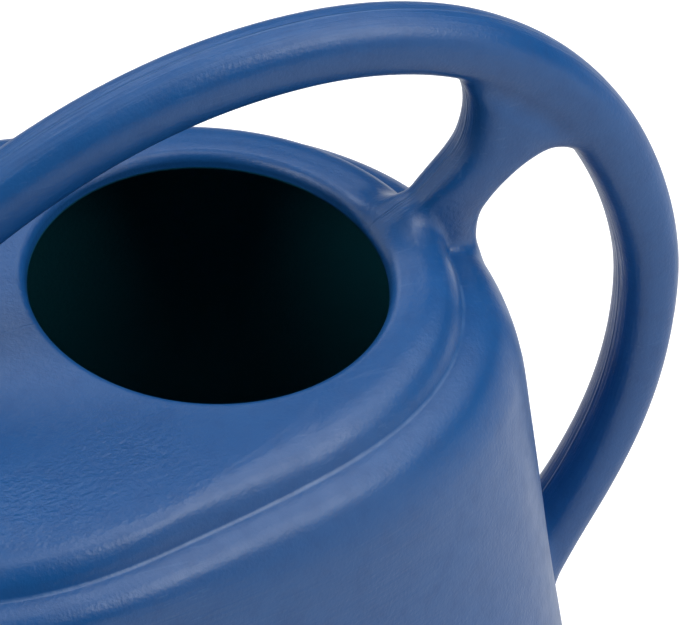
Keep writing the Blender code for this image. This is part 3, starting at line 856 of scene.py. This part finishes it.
def make_rose_cup():
    tip, axis = rose_axis()
    bore = SPOUT_TIP_RADIUS + ROSE_CLEARANCE
    groove = SEAL_RADIUS + FIT_GAP
    socket = groove + ROSE_WALL * 0.8
    throat = SPOUT_TIP_RADIUS - SPOUT_WALL + 0.0010
    rim_start = FIT_GAP * 3 + ROSE_DEPTH
    inside = ROSE_RADIUS - ROSE_WALL
    seal_end = SEAL_START + SEAL_WIDTH + FIT_GAP
    corners = [
        # outside, from the socket's mouth to the rim
        (bore, -SOCKET_DEPTH), (socket + 0.0004, -SOCKET_DEPTH), (socket + 0.0004, -SOCKET_DEPTH + 0.0024),
        (socket, -SOCKET_DEPTH + 0.0027), (socket, 0.0010), (socket + 0.0040, 0.0065),
        (socket + 0.0110, 0.0150), (ROSE_RADIUS - 0.0022, rim_start - 0.0030),
        (ROSE_RADIUS - 0.0006, rim_start - 0.0004), (ROSE_RADIUS, rim_start),
        (ROSE_RADIUS, rim_start + ROSE_RIM), (inside, rim_start + ROSE_RIM),
        # inside, from the face's seat to the groove that holds the seal
        (inside, rim_start + 0.0010), (inside - 0.0020, rim_start + 0.0010),
        (inside - 0.0022, rim_start - 0.0030), (socket + 0.0090, 0.0160), (socket + 0.0018, 0.0080),
        (throat + 0.0010, 0.0030), (throat, 0.0022), (throat, 0.0009), (bore, 0.0009),
        (bore, seal_end), (groove, seal_end), (groove, SEAL_START - FIT_GAP), (bore, SEAL_START - FIT_GAP),
    ]
    profile = rows_between(rounded(corners, 0.0006), 0.0030)
    return turned("rose_shell", tip, axis, profile, 144, closed=True)


def make_rose_face():
    """A domed plate with rings of fine holes, snapped into the cup's rim."""
    tip, axis = rose_axis()
    seat = FIT_GAP * 3 + ROSE_DEPTH + 0.0010 + FIT_GAP
    radius = ROSE_RADIUS - ROSE_WALL - FIT_GAP
    lower = [(r, seat + FACE_DOME * (1 - (r / radius) ** 2)) for r in np.linspace(0.001, radius - 0.0003, 12)]
    upper = [(r, level + FACE_THICKNESS) for r, level in lower][::-1]
    edge = [(radius, seat + 0.0004), (radius, seat + FACE_THICKNESS - 0.0004)]
    face = turned("rose_plate", tip, axis, lower + edge + upper, 112)
    other = axis.cross(SIDE)
    points, faces = [], []
    for ring in range(HOLE_RINGS):
        pitch = ring * radius * 0.82 / (HOLE_RINGS - 1)
        for k in range(max(1, 6 * ring)):
            turn = 2 * math.pi * (k + 0.37) / max(1, 6 * ring)
            centre = tip + (SIDE * math.cos(turn) + other * math.sin(turn)) * pitch
            first = len(points)
            for distance in (seat - 0.004, seat + FACE_DOME + 0.006):
                for j in range(18):
                    step = 2 * math.pi * (j + 0.5) / 18
                    way = SIDE * math.cos(step) + other * math.sin(step)
                    points.append(centre + axis * distance + way * HOLE_RADIUS)
            faces += [tuple(first + i for i in f) for f in band_faces(2, 18)]
            faces.append(tuple(first + j for j in range(18)))
            faces.append(tuple(first + 18 + j for j in range(18)))
    boolean(face, add_mesh("holes", points, faces), "DIFFERENCE")
    face.data.shade_smooth()
    face.data.set_sharp_from_angle(angle=math.radians(40))
    return face


# -------- finishes

NAVY = (0.0070, 0.0800, 0.2680)
NAVY_DEEP = (0.0040, 0.0640, 0.2280)
NAVY_PALE = (0.0130, 0.0980, 0.3050)
# pale colour of scuffs and wear, also used for the painted highlight along the fold
SCUFF_AND_HIGHLIGHT = (0.130, 0.240, 0.460)
# painted shade: the colour given to the inside of the tank in place of the shade that falls in it
PAINTED_SHADE_INSIDE = (0.0015, 0.1300, 0.1700)


class Finish:
    """A material built from nodes around its Principled shader."""

    def __init__(self, name):
        self.material = bpy.data.materials.new(name)
        self.material.use_nodes = True
        self.nodes = self.material.node_tree.nodes
        self.shader = self.nodes["Principled BSDF"]
        self.place = self.add("ShaderNodeTexCoord").outputs["Object"]

    def set(self, socket, value):
        if isinstance(value, bpy.types.NodeSocket):
            self.material.node_tree.links.new(value, socket)
        elif isinstance(value, tuple) and len(value) == 3 and socket.type == "RGBA":
            socket.default_value = (*value, 1)
        else:
            socket.default_value = value

    def add(self, kind, inputs=None, **settings):
        made = self.nodes.new(kind)
        for key, value in settings.items():
            setattr(made, key, value)
        for key, value in (inputs or {}).items():
            self.set(made.inputs[key], value)
        return made

    def attribute(self, name):
        return self.add("ShaderNodeAttribute", attribute_name=name).outputs["Fac"]

    def maths(self, operation, *values):
        made = self.add("ShaderNodeMath", operation=operation)
        for socket, value in zip(made.inputs, values):
            self.set(socket, value)
        return made.outputs[0]

    def times(self, first, *others):
        for other in others:
            first = self.maths("MULTIPLY", first, other)
        return first

    def remap(self, value, low, high, to_low=0.0, to_high=1.0, smooth=True):
        inputs = {"Value": value, "From Min": low, "From Max": high, "To Min": to_low, "To Max": to_high}
        made = self.add("ShaderNodeMapRange", inputs, interpolation_type="SMOOTHSTEP" if smooth else "LINEAR")
        return made.outputs[0]

    def noise(self, size, detail=2.0, vector=None, roughness=0.5, stretch=None):
        """Noise whose features are about size metres across."""
        vector = vector or self.place
        if stretch:
            vector = self.add("ShaderNodeMapping", {"Vector": vector, "Scale": stretch}).outputs[0]
        inputs = {"Vector": vector, "Scale": 1 / size, "Detail": detail, "Roughness": roughness}
        return self.add("ShaderNodeTexNoise", inputs).outputs[0]

    def mixed(self, share, first, second):
        made = self.add("ShaderNodeMix", data_type="RGBA")
        self.set(made.inputs[0], share)
        self.set(made.inputs[6], first)
        self.set(made.inputs[7], second)
        return made.outputs[2]

    def bump(self, height, distance, before=None):
        inputs = {"Height": height, "Distance": distance, "Strength": 1.0}
        if before:
            inputs["Normal"] = before
        return self.add("ShaderNodeBump", inputs).outputs[0]

    def scuffed_and_highlit(self, colour, *shares):
        """The colour, paler where all of the shares are high: scuffs and wear, and the painted highlight along the
        fold.
        """
        return self.mixed(self.times(*shares), colour, SCUFF_AND_HIGHLIGHT)

    def surface(self, colour, roughness, normal=None):
        self.set(self.shader.inputs["Base Color"], colour)
        self.set(self.shader.inputs["Roughness"], roughness)
        if normal:
            self.set(self.shader.inputs["Normal"], normal)
        return self.material

    def marks(self):
        """Fine hairline scratches in several directions, and a few pale specks."""
        lines = None
        for turn, size, low in ((0.3, 0.0016, 0.690), (1.2, 0.0014, 0.700), (2.3, 0.0018, 0.695)):
            inputs = {"Vector": self.place, "Rotation": (0.4 * turn, 0.7, turn), "Scale": (0.05, 1, 1)}
            way = self.add("ShaderNodeMapping", inputs).outputs[0]
            line = self.remap(self.noise(size, 1.0, way), low, low + 0.03)
            lines = self.maths("MAXIMUM", lines, line) if lines else line
        patches = self.remap(self.noise(0.045, 3.0), 0.50, 0.66)
        lines = self.times(lines, patches)
        spots = self.add("ShaderNodeTexVoronoi", {"Vector": self.place, "Scale": 130.0}, feature="F1")
        near = self.remap(spots.outputs["Distance"], 0.05, 0.11, 1, 0)
        chosen = self.add("ShaderNodeSeparateColor", {"Color": spots.outputs["Color"]}).outputs[0]
        specks = self.times(near, self.remap(chosen, 0.90, 0.92))
        return lines, specks


def moulding_finish():
    """Blow-moulded polyethylene: satin, faintly wavy, with flow streaks, hairlines and a moulding line, a painted
    highlight along the fold and painted shade inside.
    """
    made = Finish("can_moulding")
    fold, away, along, inner = (made.attribute(name) for name in ("fold", "away", "along", "inner"))
    x, y, z = made.add("ShaderNodeSeparateXYZ", {"Vector": made.place}).outputs
    side = made.maths("ABSOLUTE", y)
    on_bar = made.remap(away, 0.0015, 0.0040)

    cloud = made.noise(0.060, 3.0)
    mottle = made.noise(0.007, 4.0, roughness=0.6)
    colour = made.mixed(made.remap(cloud, 0.35, 0.70, 0, 0.5), NAVY, NAVY_PALE)
    colour = made.mixed(made.remap(mottle, 0.40, 0.75, 0, 0.5), colour, NAVY_DEEP)
    # streaks that run along the bars, where the soft plastic was drawn out, clearest beside the moulding line
    inputs = {"X": made.times(along, 0.03), "Y": y, "Z": 0.0}
    drawn = made.add("ShaderNodeCombineXYZ", inputs).outputs[0]
    streaks = made.noise(0.0011, 3.0, drawn, roughness=0.6)
    beside = made.times(made.remap(side, 0.0045, 0.0090, 1, 0.25), on_bar)
    streak_share = made.times(made.remap(streaks, 0.50, 0.68, 0, 0.75), beside)
    colour = made.mixed(streak_share, colour, NAVY_PALE)
    lines, specks = made.marks()
    colour = made.scuffed_and_highlit(colour, lines, 0.10)
    colour = made.scuffed_and_highlit(colour, specks, 0.12)
    # painted highlight: a thin pale line along the fold stands in for the light that the fold catches, broken up
    # by patchy noise; the moulding line is paler along a thin worn edge
    fold_highlight = made.remap(fold, 0.0002, 0.0011, 1, 0)
    wear_and_highlight_breaks = made.remap(made.noise(0.009, 2.0), 0.32, 0.62, 0.35, 1.0)
    colour = made.scuffed_and_highlit(colour, fold_highlight, wear_and_highlight_breaks, 0.30)
    seam_line = made.times(made.remap(side, 0.00015, 0.00065, 1, 0), made.remap(on_bar, 0, 1, 0.25, 1.0))
    colour = made.scuffed_and_highlit(colour, seam_line, wear_and_highlight_breaks, 0.22)
    # painted shade: the inside of the tank is coloured dark teal in place of the shade inside it
    colour = made.mixed(inner, colour, PAINTED_SHADE_INSIDE)

    rough = made.remap(made.noise(0.030, 3.0), 0.3, 0.7, 0.31, 0.37)
    for more in (made.remap(mottle, 0.3, 0.7, -0.03, 0.03), made.times(lines, 0.05), made.times(inner, 0.25)):
        rough = made.maths("ADD", rough, more)
    made.set(made.shader.inputs["IOR"], 1.5)

    # long waves of the blown wall
    normal = made.bump(made.noise(0.034, 2.0), 0.00025)
    # a pebbled patch on the near flat of the cap, and very faint pebbles elsewhere
    off_bar = made.maths("SUBTRACT", 1.0, on_bar)
    pebbles = made.noise(0.0017, 2.0, stretch=(0.8, 1, 1), roughness=0.6)
    ahead = made.remap(x, OPENING_X + 0.010, OPENING_X - 0.060)
    patch = made.times(ahead, made.remap(side, 0.030, 0.066))
    patch = made.times(patch, made.remap(z, TOP_Z - 0.0022, TOP_Z - 0.0006))
    uneven = made.remap(made.noise(0.050, 2.0), 0.35, 0.60, 0.35, 1.0)
    patch = made.maths("ADD", made.times(patch, uneven), 0.06)
    normal = made.bump(made.times(pebbles, patch, off_bar), 0.00070, normal)
    # lines drawn round the wall
    rounds = made.noise(0.0016, 2.0, stretch=(0.04, 0.04, 1))
    low = made.times(made.remap(z, CREASE_Z - 0.004, CREASE_Z - 0.016), off_bar)
    low = made.times(low, made.remap(x, OPENING_X + 0.060, OPENING_X - 0.030, 0.12, 1.0))
    normal = made.bump(made.times(rounds, made.times(low, uneven)), 0.00028, normal)
    # grain, streaks, hairlines and the moulding line
    normal = made.bump(made.noise(0.0013, 2.0, roughness=0.6), 0.00013, normal)
    normal = made.bump(made.times(streaks, beside), 0.00030, normal)
    normal = made.bump(lines, 0.00001, normal)
    normal = made.bump(seam_line, 0.00022, normal)
    return made.surface(colour, rough, normal)


def turned_plastic(name, tint, roughness, grain):
    """Injection moulded plastic: finer and more even than the can."""
    made = Finish(name)
    deep = tuple(value * 0.75 for value in tint)
    colour = made.mixed(made.remap(made.noise(0.040, 3.0), 0.35, 0.70, 0, 0.5), tint, deep)
    colour = made.mixed(made.remap(made.noise(0.004, 4.0), 0.45, 0.75, 0, 0.25), colour, deep)
    lines, specks = made.marks()
    colour = made.scuffed_and_highlit(colour, lines, 0.12)
    colour = made.scuffed_and_highlit(colour, specks, 0.12)
    edges = made.add("ShaderNodeNewGeometry").outputs["Pointiness"]
    edge_wear = made.times(made.remap(edges, 0.54, 0.62), made.remap(made.noise(0.005, 3.0), 0.40, 0.65))
    colour = made.scuffed_and_highlit(colour, edge_wear, 0.35)
    rough = made.remap(made.noise(0.012, 4.0), 0.3, 0.7, roughness - 0.05, roughness + 0.06)
    rough = made.maths("ADD", rough, made.times(lines, 0.15))
    normal = made.bump(made.noise(0.020, 2.0), 0.00012)
    normal = made.bump(made.noise(grain, 2.0), 0.000025, normal)
    normal = made.bump(lines, 0.00003, normal)
    return made.surface(colour, rough, normal)


def rubber_finish():
    made = Finish("black_rubber")
    share = made.remap(made.noise(0.004, 4.0), 0.4, 0.7)
    colour = made.mixed(share, (0.016, 0.016, 0.018), (0.042, 0.042, 0.045))
    rough = made.remap(made.noise(0.003, 3.0), 0.3, 0.7, 0.62, 0.84)
    return made.surface(colour, rough, made.bump(made.noise(0.0009, 3.0), 0.00004))


def floor_finish():
    made = Finish("pale_floor")
    made.set(made.shader.inputs["Emission Color"], (1.0, 1.0, 1.0))
    seen = made.add("ShaderNodeLightPath").outputs["Is Camera Ray"]
    glow = made.remap(seen, 0, 1, FLOOR_GLOW, FLOOR_WHITE, smooth=False)
    made.set(made.shader.inputs["Emission Strength"], glow)
    return made.surface(made.mixed(made.noise(0.4, 2.0), (0.80, 0.80, 0.80), (0.84, 0.84, 0.84)), 0.7)


def dressed(obj, material):
    obj.data.materials.clear()
    obj.data.materials.append(material)
    for polygon in obj.data.polygons:
        polygon.material_index = 0
    return obj


# -------- camera, light and floor

CAMERA_AIM = (0.0357, -0.0227, -0.0071)  # from the middle of the opening, at RIM_Z
CAMERA_AZIMUTH = math.radians(24.51)  # the view turns from +Y towards +X
CAMERA_ELEVATION = math.radians(39.315)
CAMERA_DISTANCE = 2.24
CAMERA_LENS = 372.9


def make_camera():
    aim = Vector((OPENING_X, 0, RIM_Z)) + Vector(CAMERA_AIM)
    level = math.cos(CAMERA_ELEVATION)
    ahead, right = math.cos(CAMERA_AZIMUTH) * level, math.sin(CAMERA_AZIMUTH) * level
    look = Vector((right, ahead, -math.sin(CAMERA_ELEVATION)))
    data = bpy.data.cameras.new("camera")
    data.sensor_width = 36
    data.lens = CAMERA_LENS
    data.clip_end = 50
    camera = bpy.data.objects.new("camera", data)
    camera.location = aim - look * CAMERA_DISTANCE
    camera.rotation_euler = look.to_track_quat("-Z", "Y").to_euler()
    bpy.context.scene.collection.objects.link(camera)
    bpy.context.scene.camera = camera


FLOOR_GLOW = 0.10  # what the floor adds to the light on the can
FLOOR_WHITE = 0.50  # and how bright the floor itself is made to look
# name, azimuth from -Y towards +X, elevation, power, then distance and size where they aren't the usual ones
LIGHTS = (
    ("front_right_low", 45, 12, 4.0),
    ("rear_left_low", 225, 12, 5.0),
    ("left_low", 270, 12, 3.4),
    ("front_right", 45, 42, 20.5),
    ("right", 90, 42, 6.4),
    ("rear_right", 135, 42, 6.1),
    ("rear", 180, 42, 9.8),
    ("rear_left", 225, 42, 3.9),
    ("left", 270, 42, 14.7),
    ("top", 0, 85, 6.4, 2.0),
    ("high_right", 90, 65, 8.7, 2.2, 1.0),
)


def make_light(name, azimuth, elevation, power, distance=2.2, size=1.2):
    azimuth, elevation = math.radians(azimuth), math.radians(elevation)
    level = math.cos(elevation)
    way = Vector((math.sin(azimuth) * level, -math.cos(azimuth) * level, math.sin(elevation)))
    data = bpy.data.lights.new(name, "AREA")
    data.shape = "RECTANGLE"
    data.size = data.size_y = size
    data.energy = power
    light = bpy.data.objects.new(name, data)
    light.location = Vector((0.08, 0, 0.20)) + way * distance
    light.rotation_euler = (-way).to_track_quat("-Z", "Y").to_euler()
    light.visible_camera = False
    bpy.context.scene.collection.objects.link(light)


def make_surroundings():
    world = bpy.data.worlds.new("studio")
    world.use_nodes = True
    background = world.node_tree.nodes["Background"]
    background.inputs["Color"].default_value = (1, 1, 1, 1)
    seen = world.node_tree.nodes.new("ShaderNodeLightPath").outputs["Is Camera Ray"]
    world.node_tree.links.new(seen, background.inputs["Strength"])
    bpy.context.scene.world = world
    floor = add_mesh("floor", [(-9, -9, 0), (9, -9, 0), (9, 9, 0), (-9, 9, 0)], [(0, 1, 2, 3)], smooth=False)
    dressed(floor, floor_finish())
    for light in LIGHTS:
        make_light(*light)
    bpy.context.scene.view_settings.view_transform = "Standard"
    bpy.context.scene.view_settings.look = "None"


# -------- the can

make_camera()
make_surroundings()

navy = moulding_finish()
spout_plastic = turned_plastic("spout_plastic", (0.0075, 0.0840, 0.2800), 0.34, 0.0010)
nut_plastic = turned_plastic("nut_plastic", (0.0060, 0.0720, 0.2450), 0.40, 0.0007)
rose_plastic = turned_plastic("rose_plastic", (0.0070, 0.0780, 0.2620), 0.30, 0.0012)
rubber = rubber_finish()

for piece, material, body, slot, nodes in (
    (make_moulding(), navy, "can", "can_moulding", ("tank", "spout_neck", "handle", "handle_brace")),
    (make_spout(), spout_plastic, "spout", "spout_plastic", ("spout",)),
    (make_nut(), nut_plastic, "nut", "nut_plastic", ("spout_nut",)),
    (make_rose_cup(), rose_plastic, "rose", "rose_plastic", ("rose_cup",)),
    (make_rose_face(), rose_plastic, "rose", "rose_plastic", ("rose_face",)),
):
    dressed(piece, material)
    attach(piece, body)
    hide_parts(*nodes)

thread = dressed(make_thread(), spout_plastic)
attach(thread, "can")

for node in ("spout_gasket", "rose_seal"):
    dressed(frame["nodes"][node], rubber)
